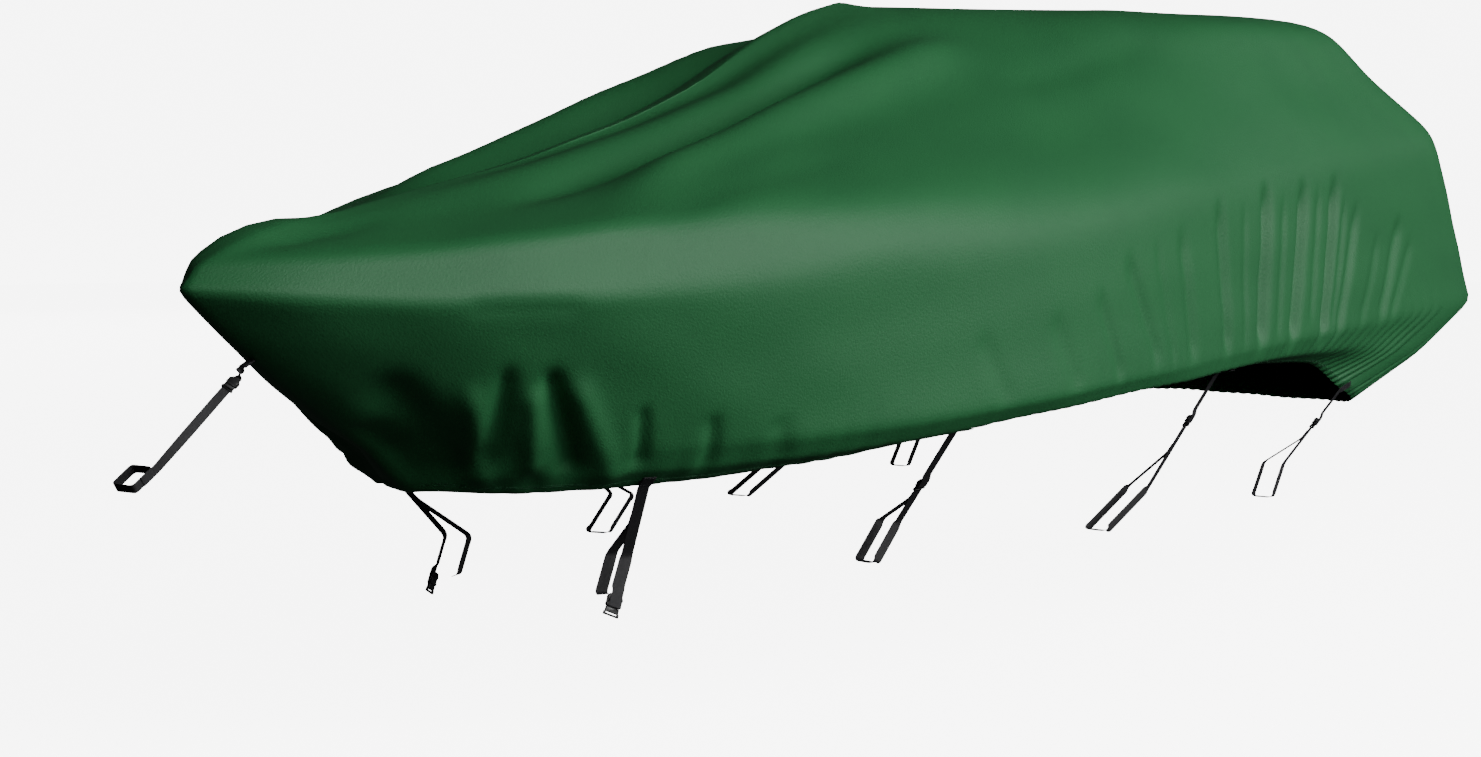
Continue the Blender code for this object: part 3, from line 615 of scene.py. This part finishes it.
def stitch_tree():
    """Geometry Nodes that lay stitches along the edges of a mesh."""
    tree = bpy.data.node_groups.new("stitches", "GeometryNodeTree")
    sockets = {}
    for label, kind in (("Geometry", "NodeSocketGeometry"), ("Pitch", "NodeSocketFloat"),
                        ("Length", "NodeSocketFloat"), ("Thickness", "NodeSocketFloat"),
                        ("Thread", "NodeSocketMaterial")):
        sockets[label] = tree.interface.new_socket(label, in_out="INPUT", socket_type=kind)
    tree.interface.new_socket("Geometry", in_out="OUTPUT", socket_type="NodeSocketGeometry")
    given = add_node(tree, "NodeGroupInput").outputs
    curve = add_node(tree, "GeometryNodeMeshToCurve", links=[("Mesh", given["Geometry"])])
    spots = add_node(tree, "GeometryNodeCurveToPoints", mode="LENGTH",
                     links=[("Curve", curve.outputs["Curve"]), ("Length", given["Pitch"])])
    radius = add_node(tree, "ShaderNodeMath", [(1, 0.5)], [(0, given["Thickness"])],
                      operation="MULTIPLY")
    thread = add_node(tree, "GeometryNodeMeshCylinder", [("Vertices", 6), ("Side Segments", 1)],
                      [("Radius", radius.outputs[0]), ("Depth", given["Length"])])
    turned = add_node(tree, "FunctionNodeAlignRotationToVector", axis="Z",
                      links=[("Vector", spots.outputs["Tangent"])])
    laid = add_node(tree, "GeometryNodeInstanceOnPoints",
                    links=[("Points", spots.outputs["Points"]),
                           ("Instance", thread.outputs["Mesh"]),
                           ("Rotation", turned.outputs["Rotation"])])
    real = add_node(tree, "GeometryNodeRealizeInstances",
                    links=[("Geometry", laid.outputs["Instances"])])
    dyed = add_node(tree, "GeometryNodeSetMaterial",
                    links=[("Geometry", real.outputs["Geometry"]),
                           ("Material", given["Thread"])])
    add_node(tree, "NodeGroupOutput", links=[("Geometry", dyed.outputs["Geometry"])])
    return tree, {label: socket.identifier for label, socket in sockets.items()}


def finished(draft):
    """The draft's mesh with its modifiers applied; the draft itself goes."""
    mesh = bpy.data.meshes.new_from_object(
        draft.evaluated_get(bpy.context.evaluated_depsgraph_get()))
    bpy.data.objects.remove(draft, do_unlink=True)
    mesh.shade_smooth()
    return mesh


def stitched(name, lines, thread):
    """The stitches along lines of points, as one plain mesh."""
    points, edges = [], []
    for line in lines:
        edges += [(len(points) + k, len(points) + k + 1) for k in range(len(line) - 1)]
        points += [tuple(p - ORIGIN) for p in line]
    draft = new_object(f"{name}_lines", new_mesh(f"{name}_lines", points, [], edges))
    tree, ids = stitch_tree()
    sewing = draft.modifiers.new("sewing", "NODES")
    sewing.node_group = tree
    for label, value in (("Pitch", STITCH_PITCH), ("Length", STITCH_LONG),
                         ("Thickness", THREAD_THICK), ("Thread", thread)):
        sewing[ids[label]] = value
    piece = new_object(name, finished(draft))
    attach(piece, "root")


def thread_material(name, dark, light):
    """Polyester thread; lighter and darker patches are painted highlight and shade on its twist."""
    material, tree, shader = new_material(name, light, 0.5)
    place = add_node(tree, "ShaderNodeTexCoord")
    mottled(tree, shader, place.outputs["Object"], 600.0, 2.0, dark, light)
    return material


def seam_lines(grid, side):
    """Lines of points on the cloth at the heights of the hem's two seams."""
    rise = run_up(grid[:sum(FINE_ROWS[:2]) + 1])
    clear = (grid + row_normals(grid, side) * SEAM_CLEAR)[:len(rise)]
    return [[np.array([np.interp(height, rise[:, k], clear[:, k, axis]) for axis in range(3)])
             for k in range(SEAM_START, rise.shape[1] - SEAM_START)] for height in HEM_SEAMS]


stitched("hem_stitches", [line for side in (-1, 1) for line in seam_lines(shells[side], side)],
         thread_material("green_thread", "#1a4a2d", "#2f6d48"))

# ======== the ties' webbing
# Flat black polyester webbing, woven with ribs along its length and cut hot at its ends. The
# tails, the loops and the bow tie's four pieces are all cut from it, in four widths.
WEB = 0.0018              # its thickness
WEB_EDGE = 0.0008         # width of its thinner edges
WEB_EDGE_SHARE = 0.26     # half their thickness, as a share of its own
WEB_STEP = 0.004          # spacing of the mesh's rings along it
WEB_SOFT = 2              # passes that round its bends
RIB_PITCH = 0.0019
RIB_DEEP = 0.00016


def smoothed(line, closed):
    """One pass of smoothing along a line of points; the ends of an open one stay."""
    if closed:
        return (np.roll(line, 1, axis=0) + 2 * line + np.roll(line, -1, axis=0)) / 4
    out = line.copy()
    out[1:-1] = (line[:-2] + 2 * line[1:-1] + line[2:]) / 4
    return out


def web_section(width, thick):
    """Outline of the webbing's cross-section: (across, out) points, both faces ribbed."""
    half = width / 2
    ribs = max(3, round((width - 2 * WEB_EDGE) / RIB_PITCH))
    across = np.linspace(-half + WEB_EDGE, half - WEB_EDGE, 2 * ribs + 1)
    out = thick / 2 - RIB_DEEP * (np.arange(len(across)) % 2)
    out[[0, -1]] = thick / 2
    edge = thick * WEB_EDGE_SHARE
    face = [(-half, edge), *zip(across, out), (half, edge)]
    return np.array(face + [(u, -v) for u, v in reversed(face)])


def webbing(name, path, width, across, thick=WEB, closed=False, spacing=WEB_STEP):
    """A length of webbing along a path, standing for its CAD node."""
    path = np.array(path, float)
    across = np.broadcast_to(np.asarray(across, float), path.shape)
    if closed:
        path, across = np.vstack([path, path[:1]]), np.vstack([across, across[:1]])
    run = run_along(path)
    count = max(3, round(run[-1] / spacing))
    at = np.linspace(0, run[-1], count + 1)
    line = np.column_stack([np.interp(at, run, path[:, k]) for k in range(3)])
    way = np.column_stack([np.interp(at, run, across[:, k]) for k in range(3)])
    if closed:
        line, way = line[:-1], way[:-1]
    for _ in range(WEB_SOFT):
        line, way = smoothed(line, closed), smoothed(way, closed)
    tangent = (np.roll(line, -1, axis=0) - np.roll(line, 1, axis=0) if closed
               else np.gradient(line, axis=0))
    tangent /= np.linalg.norm(tangent, axis=1, keepdims=True)
    way = way - tangent * np.sum(way * tangent, axis=1, keepdims=True)
    way /= np.linalg.norm(way, axis=1, keepdims=True)
    out = np.cross(tangent, way)
    section = web_section(width, thick)
    size = len(section)
    points = (line[:, None] + way[:, None] * section[None, :, :1]
              + out[:, None] * section[None, :, 1:]).reshape(-1, 3) - ORIGIN
    rings = len(line)
    faces, spots = [], []
    round_cut = run_along(np.vstack([section, section[:1]]))
    for k in range(rings if closed else rings - 1):
        a, b = size * k, size * ((k + 1) % rings)
        for i in range(size):
            j = (i + 1) % size
            faces.append((a + i, b + i, b + j, a + j))
            spots += [(at[k], round_cut[i]), (at[k + 1], round_cut[i]),
                      (at[k + 1], round_cut[i + 1]), (at[k], round_cut[i + 1])]
    if not closed:
        last = size * (rings - 1)
        faces += [tuple(range(size)), tuple(last + i for i in reversed(range(size)))]
        spots += [tuple(section[i]) for i in range(size)]
        spots += [tuple(section[i]) for i in reversed(range(size))]
    mesh = new_mesh(name, points.tolist(), faces)
    layer = mesh.uv_layers.new(name="web_metres")
    layer.data.foreach_set("uv", np.array(spots, np.float32).reshape(-1))
    mesh.materials.append(web_black)
    piece = new_object(f"{name}_webbing", mesh)
    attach(piece, "root")
    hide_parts(name)


# Black polyester: the picks cross the ribs as a twill, drawn 1.3 mm apart so that it shows, and
# dye and dust make patches of 30 mm a little uneven.
web_black, tree, shader = new_material("black_polyester_webbing", "#17171a", 0.62)
shader.inputs["Specular IOR Level"].default_value = 0.35
shader.inputs["Sheen Weight"].default_value = 0.06
shader.inputs["Sheen Tint"].default_value = linear("#9a9aa2")
uv = add_node(tree, "ShaderNodeUVMap", uv_map="web_metres")
picks = add_node(tree, "ShaderNodeTexWave", [("Scale", 330.0), ("Distortion", 0.8),
                                             ("Detail", 1.0)],
                 [("Vector", uv.outputs["UV"])], wave_type="BANDS", bands_direction="DIAGONAL")
mottled(tree, shader, uv.outputs["UV"], 35.0, 5.0, "#0d0d0f", "#1b1b1e")
relief = add_node(tree, "ShaderNodeBump", [("Strength", 0.5), ("Distance", 0.0004)],
                  [("Height", picks.outputs["Fac"])])
tree.links.new(relief.outputs["Normal"], shader.inputs["Normal"])

# ======== the buckles
# Side-release buckles moulded in black acetal: a socket with a window in each side, where the
# plug's two prongs show, and a plug with a slot and a bar for its webbing.
GAP = 0.0003              # between pieces that meet
BUCKLE_SPREAD = 1.30      # the buckle's width, as a share of the webbing's
BUCKLE_WAIST = 0.86       # its width where the socket and the plug start, as a share of its own
SOCKET_LONG = 1.00        # the socket's length, as a share of the webbing's width
SOCKET_WIDEST = 0.30      # where it has its full width, as a share of its length
PLUG_LONG = 0.62          # the plug's length, as a share of the webbing's width
PLUG_NECK = 0.50          # where it starts to widen and where it has its full width, as shares
PLUG_WIDEST = 0.62        # of its length
SOCKET_THICK = 0.0110
PLUG_THICK = 0.0075
PLUG_SLOT = 0.0036        # length of the slot, as the webbing runs
BUCKLE_CHAMFER = 0.0050
WINDOW = (0.40, 0.80, 0.15)   # start and end of the windows as shares of the socket's length,
                              # and their depth as a share of the webbing's width
WINDOW_SLOPE = 0.7            # slant of their ends
PRONG_CLEAR = 0.0006
PRONG_THICK = 0.62            # share of the socket's thickness
MOULD_EDGE = 0.0009           # radius of the moulded edges

# Black acetal from a fine-blasted mould: its grain is drawn 1 mm wide so that it shows.
acetal, tree, shader = new_material("black_acetal_moulding", "#131314", 0.38)
shader.inputs["Specular IOR Level"].default_value = 0.45
place = add_node(tree, "ShaderNodeTexCoord")
grain = add_node(tree, "ShaderNodeTexNoise", [("Scale", 900.0), ("Detail", 3.0)],
                 [("Vector", place.outputs["Object"])])
rough = add_node(tree, "ShaderNodeMapRange", [("To Min", 0.30), ("To Max", 0.50)],
                 [("Value", grain.outputs["Fac"])])
relief = add_node(tree, "ShaderNodeBump", [("Strength", 0.25), ("Distance", 0.0002)],
                  [("Height", grain.outputs["Fac"])])
tree.links.new(rough.outputs["Result"], shader.inputs["Roughness"])
tree.links.new(relief.outputs["Normal"], shader.inputs["Normal"])


def plate(outline, thickness, start, along, across, slot=None):
    """Points and faces of a flat plate. outline and slot: rings of (along, across) points."""
    thick = np.cross(along, across)
    rings = [outline] if slot is None else [outline, slot]
    points = [start + along * u + across * v + thick * side * thickness / 2
              for side in (-1, 1) for ring in rings for u, v in ring]
    n = len(outline)
    chain = [0, n] if slot is None else [0, 2 * n, 3 * n, n, 0]
    faces = [(a + k, a + (k + 1) % n, b + (k + 1) % n, b + k)
             for a, b in zip(chain, chain[1:]) for k in range(n)]
    if slot is None:
        faces += [tuple(range(n))[::-1], tuple(range(n, 2 * n))]
    return points, faces


def moulded(name, plates):
    """Plates joined as one piece with moulded edges, standing for its CAD node."""
    points, faces = [], []
    for more, rings in plates:
        faces += [tuple(k + len(points) for k in ring) for ring in rings]
        points += more
    mesh = new_mesh(name, (np.array(points) - ORIGIN).tolist(), faces)
    draft = new_object(f"{name}_draft", mesh)
    edge = draft.modifiers.new("edges", "BEVEL")
    edge.width = MOULD_EDGE
    edge.segments = 3
    edge.limit_method = "ANGLE"
    edge.angle_limit = math.radians(25)
    done = finished(draft)
    done.set_sharp_from_angle(angle=math.radians(40))
    done.materials.clear()
    done.materials.append(acetal)
    piece = new_object(f"{name}_moulding", done)
    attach(piece, "root")
    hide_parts(name)


def both_sides(half):
    """A ring of (along, across) points from the one side's points, which run forward."""
    return (*half, *((u, -v) for u, v in reversed(half)))


def make_buckle(name, start, along, across, web):
    """The socket and the plug with its prongs; returns the distance to the buckle's far end."""
    half = web * BUCKLE_SPREAD / 2
    waist = half * BUCKLE_WAIST
    cut = BUCKLE_CHAMFER
    long = web * SOCKET_LONG
    wide = long * SOCKET_WIDEST
    opens, closes, deep = long * WINDOW[0], long * WINDOW[1], web * WINDOW[2]
    slant = deep * WINDOW_SLOPE
    side = ((0, -waist + cut), (cut, -waist), (wide, -half), (opens, -half),
            (opens + slant, -half + deep), (closes - slant, -half + deep), (closes, -half),
            (long - cut, -half), (long, -half + cut))
    moulded(f"{name}_socket", [plate(both_sides(side), SOCKET_THICK, start, along, across)])
    begin = start + along * (long + GAP)
    reach = web * PLUG_LONG
    neck, wide, bar = reach * PLUG_NECK, reach * PLUG_WIDEST, web / 2
    plug = ((0, -waist), (neck, -waist), (wide, -half), (reach, -half),
            (reach, half), (wide, half), (neck, waist), (0, waist))
    # the slot's ring has as many points as the plug's
    steps = [wide + PLUG_SLOT * share for share in (0, 1 / 3, 2 / 3, 1)]
    slot = [(u, -bar) for u in steps] + [(u, bar) for u in reversed(steps)]
    parts = [plate(plug, PLUG_THICK, begin, along, across, slot)]
    c = PRONG_CLEAR
    for way in (-1, 1):
        prong = ((opens + c, -half), (closes - c, -half),
                 (closes - slant - c, -half + deep - c), (opens + slant + c, -half + deep - c))
        ring = [(u, v * -way) for u, v in prong]
        parts.append(plate(ring if way < 0 else ring[::-1], SOCKET_THICK * PRONG_THICK,
                           start, along, across))
    moulded(f"{name}_plug", parts)
    return long + GAP + reach


# ======== the side ties
# Four straps on each side. The tail is sewn to the band above the hem with a box seam and runs
# over its buckle's socket; the loop starts at the plug, goes round and ends flat on the strand.
SEWN = 0.050                       # length of the tail that is sewn on
SEWN_STEPS = 4
SEWN_CLEAR = 0.0009                # its distance from the cloth
HEM_DROP = 0.010                   # how far below the hem the strap leaves the band's plane
FOOT_WIDTH = 0.075                 # of the loop's foot
FOOT_TOP = 0.560                   # heights of the foot's upper and lower bends
FOOT_LOW = 0.450
LOOP_RADIUS = 0.014                # of the bends
ARC_SHARE = 0.45                   # most that a bend takes of a straight stretch
SPLIT_LENGTH = 0.030               # length of the loop's end that lies along the strand
SEAM_INSET = 0.004                 # of the box seam from the webbing's edges
SEAM_SPAN = (0.004, 0.042)         # its ends, from the tail's end
TAIL_RISE = (0.022, 0.010, 0.85)   # the tail starts to rise onto the socket this far before it,
                                   # and this near to it has risen this share of the way
PROBE = 0.05                       # reach of the rays that find the cloth under the webbing

# Each side tie: its name, x at the hem, x of the foot's upper and lower bends, their distance
# from the centre line, the foot's turn in degrees, the width of the webbing, the distances along
# the tie to its buckle and to where the loop's end meets it.
TIES = (
    ("tie_1", 1.20, 1.31, 1.26, 0.335, 18, 0.038, 0.385, 0.140),
    ("tie_2", 2.13, 2.32, 2.20, 0.550, 14, 0.030, 0.250, 0.345),
    ("tie_3", 3.45, 3.46, 3.20, 0.750, 5, 0.025, 0.165, 0.310),
    ("tie_4", 4.42, 4.34, 4.26, 0.790, 0, 0.025, 0.120, 0.205),
)

cloth_tree = BVHTree.FromObject(cloth, bpy.context.evaluated_depsgraph_get())
box_seams = []


def unit(v):
    """The vector v, one long."""
    return v / np.linalg.norm(v)


def facing(direction, way):
    """The direction, turned about if it points against way."""
    return direction if direction @ way > 0 else -direction


def rounded(points, radius, steps=6):
    """The polyline with each inner corner turned into a short arc."""
    out = [points[0]]
    for before, corner, after in zip(points, points[1:], points[2:]):
        a, b = (corner + unit(end - corner) * min(radius, np.linalg.norm(end - corner) * ARC_SHARE)
                for end in (before, after))
        for k in range(steps + 1):
            t = k / steps
            out.append((1 - t) ** 2 * a + 2 * t * (1 - t) * corner + t * t * b)
    return out + [points[-1]]


def cut_path(path, start, end):
    """The stretch of a polyline between two distances along it."""
    path = np.array(path)
    run = run_along(path)
    ends = [np.array([np.interp(d, run, path[:, k]) for k in range(3)]) for d in (start, end)]
    inner = [p for p, d in zip(path, run) if start + 1e-5 < d < end - 1e-5]
    return [ends[0], *inner, ends[1]]


def hem_place(grid, x):
    """Points of the hem and of the band above it at station x, and the hem's direction there."""
    side = grid[:2, columns()[0] < 2]
    low = int(np.searchsorted(side[0, :, 0], x)) - 1
    t = (x - side[0, low, 0]) / (side[0, low + 1, 0] - side[0, low, 0])
    return side[:, low] * (1 - t) + side[:, low + 1] * t, unit(side[0, low + 1] - side[0, low])


def lifted(point, up, across, width):
    """The point moved out until the webbing about it lies clear of the cloth."""
    outward = facing(unit(np.cross(up, across)), point * (0, 1, 0))
    highest = 0.0
    for share in (-0.5, -0.25, 0, 0.25, 0.5):
        for step in (-1, -0.5, 0, 0.5, 1):
            start = (point + across * width * share + up * SEWN / SEWN_STEPS * step
                     + outward * PROBE)
            hit = cloth_tree.ray_cast(Vector(start - ORIGIN), Vector(-outward), 2 * PROBE)
            if hit[0] is not None:
                highest = max(highest, PROBE - hit[3])
    return point + outward * (highest + SEWN_CLEAR + WEB / 2)


for side in (-1, 1):
    grid = half_rows(side)
    for tie, hem_x, top_x, low_x, foot_y, degrees, web, buckle, split in TIES:
        name = f"{tie}_{'port' if side < 0 else 'starboard'}"
        turn = math.radians(degrees)
        foot_way = np.array([math.cos(turn), side * math.sin(turn), 0])
        inward = np.array([math.sin(turn), -side * math.cos(turn), 0])
        band, hem_way = hem_place(grid, hem_x)
        up = unit(band[1] - band[0])
        sewn = [lifted(band[0] + up * height, up, hem_way, web)
                for height in (*np.linspace(SEWN, 0, SEWN_STEPS + 1), -HEM_DROP)]
        # its box seam: along both edges of the sewn part and across both its ends
        outward = facing(unit(np.cross(up, hem_way)), np.array([0, side, 0]))
        inset = web / 2 - SEAM_INSET
        flat = [point + outward * (WEB / 2 + SEAM_CLEAR) for point in sewn[:SEWN_STEPS + 1]]
        edge_a = cut_path([p + hem_way * inset for p in flat], *SEAM_SPAN)
        edge_b = cut_path([p - hem_way * inset for p in flat], *SEAM_SPAN)
        box_seams += [edge_a, edge_b, [edge_a[0], edge_b[0]], [edge_a[-1], edge_b[-1]]]
        top_out = np.array([top_x, side * foot_y, FOOT_TOP])
        low_out = np.array([low_x, side * foot_y, FOOT_LOW])
        low_in, top_in = low_out + inward * FOOT_WIDTH, top_out + inward * FOOT_WIDTH
        strand = unit(top_out - sewn[-1])
        front = rounded([sewn[-1], top_out, low_out], LOOP_RADIUS)
        width_way = unit(foot_way - strand * (foot_way @ strand))
        face = facing(np.cross(width_way, strand), -inward)

        # the buckle lies on the straight stretch that it starts on, the tail over its socket
        stretch = cut_path(front, buckle, buckle + LOOP_RADIUS)
        start, along = stretch[0], unit(stretch[-1] - stretch[0])
        across = unit(foot_way - along * (foot_way @ along))
        flat_out = facing(np.cross(across, along), -inward)
        length = make_buckle(name, start + along * GAP, along, across, web)
        rise = flat_out * (SOCKET_THICK / 2 + WEB / 2 + GAP)
        lift_start, lift_end, lift_share = TAIL_RISE
        tail = [*sewn[:-1], *cut_path(front, 0, buckle - lift_start)]
        ways = [hem_way] * (len(sewn) - 1) + [width_way] * (len(tail) - len(sewn) + 1)
        tail += [start - along * lift_end + rise * lift_share, start + along * GAP + rise,
                 start + along * web * SOCKET_LONG + rise]
        webbing(f"{name}_tail", tail, web, ways + [across] * 3)

        close = sewn[-1] + strand * split - face * (WEB + GAP)
        ring = rounded([sewn[-1], top_out, low_out, low_in, top_in, close,
                        close - strand * SPLIT_LENGTH], LOOP_RADIUS)
        ring = cut_path(ring, buckle + length + 2 * GAP, run_along(ring)[-1])
        webbing(f"{name}_loop", ring, web, foot_way)

stitched("tie_stitches", box_seams, thread_material("black_thread", "#1c1c1f", "#3a3a3e"))

# ======== the bow tie
# At the stem a folded tab is sewn into the hem. Its webbing is twisted on the way to the buckle,
# and the strand below the buckle lies with its end on a closed, square band.
BOW_WEB = 0.025           # width of the tab, the strand and the band
BOW_TAIL_WEB = 0.0225     # and of the twisted tail
BOW_TAB = ((0.2376, 1.1505), (0.205, 1.136))  # x and z of the tab's ends
BOW_BUCKLE = (0.184, 1.106)                   # and of the buckle's start
BOW_TURN = 40             # degrees by which the buckle leans
BAND_HALF = 0.036         # half the band's inner width
BAND_CENTRE = (-0.156, 0.890)
BAND_RADIUS = 0.008       # of its corners
BAND_LAP = 0.046          # length of the strand that lies on it
STRAND_LEAD = 0.005       # straight length before and after a twist
TWIST_STEPS = 36
TWIST_SPACING = 0.001     # spacing of the tail's rings

port = np.array([0, -1.0, 0])
tab, tab_end, first, centre = (np.array([x, 0, z])
                               for x, z in (*BOW_TAB, BOW_BUCKLE, BAND_CENTRE))
tab_way = unit(tab_end - tab)
webbing("bow_tie_tab", [tab, tab_end], BOW_WEB, port, thick=3 * WEB)
along = unit(centre - first)
upright = np.cross(port, along)
turn = math.radians(BOW_TURN)
leaning = port * math.cos(turn) + upright * math.sin(turn)
length = make_buckle("bow_tie", first, along, leaning, BOW_WEB)

shares = np.linspace(0, 1, TWIST_STEPS + 1)[:, None]
begin, end = tab_end + tab_way * GAP, first - along * GAP
twist = begin + tab_way * STRAND_LEAD, end - along * STRAND_LEAD
path = [begin, *(twist[0] + (twist[1] - twist[0]) * shares), end]
angle = np.concatenate([[[0]], shares, [[1]]]) * (math.pi + turn)
webbing("bow_tie_tail", path, BOW_TAIL_WEB, port * np.cos(angle) + upright * np.sin(angle),
        spacing=TWIST_SPACING)

reach = BAND_HALF + WEB / 2 + GAP
corners = [centre + along * a * reach + port * b * reach
           for a, b in ((-1, -1), (1, -1), (1, 1), (-1, 1))]
middle = (corners[-1] + corners[0]) / 2
webbing("bow_tie_band", rounded([middle, *corners, middle], BAND_RADIUS)[:-1], BOW_WEB, upright,
        closed=True)

# the strand turns flat to the band's port face, clears its corner and then lies on it
begin = first + along * (length + 2 * GAP)
lead = begin + along * STRAND_LEAD
lap = centre + port * (reach + WEB + GAP)
lap_start = lap - along * (reach + BAND_RADIUS)
shares = np.linspace(0, 1, TWIST_STEPS)[:, None]
path = [begin, *(lead + (lap_start - lead) * shares), lap + along * (BAND_LAP - reach)]
ways = leaning * (1 - shares) + upright * shares
webbing("bow_tie_strand", path, BOW_WEB, [leaning, *ways, upright])
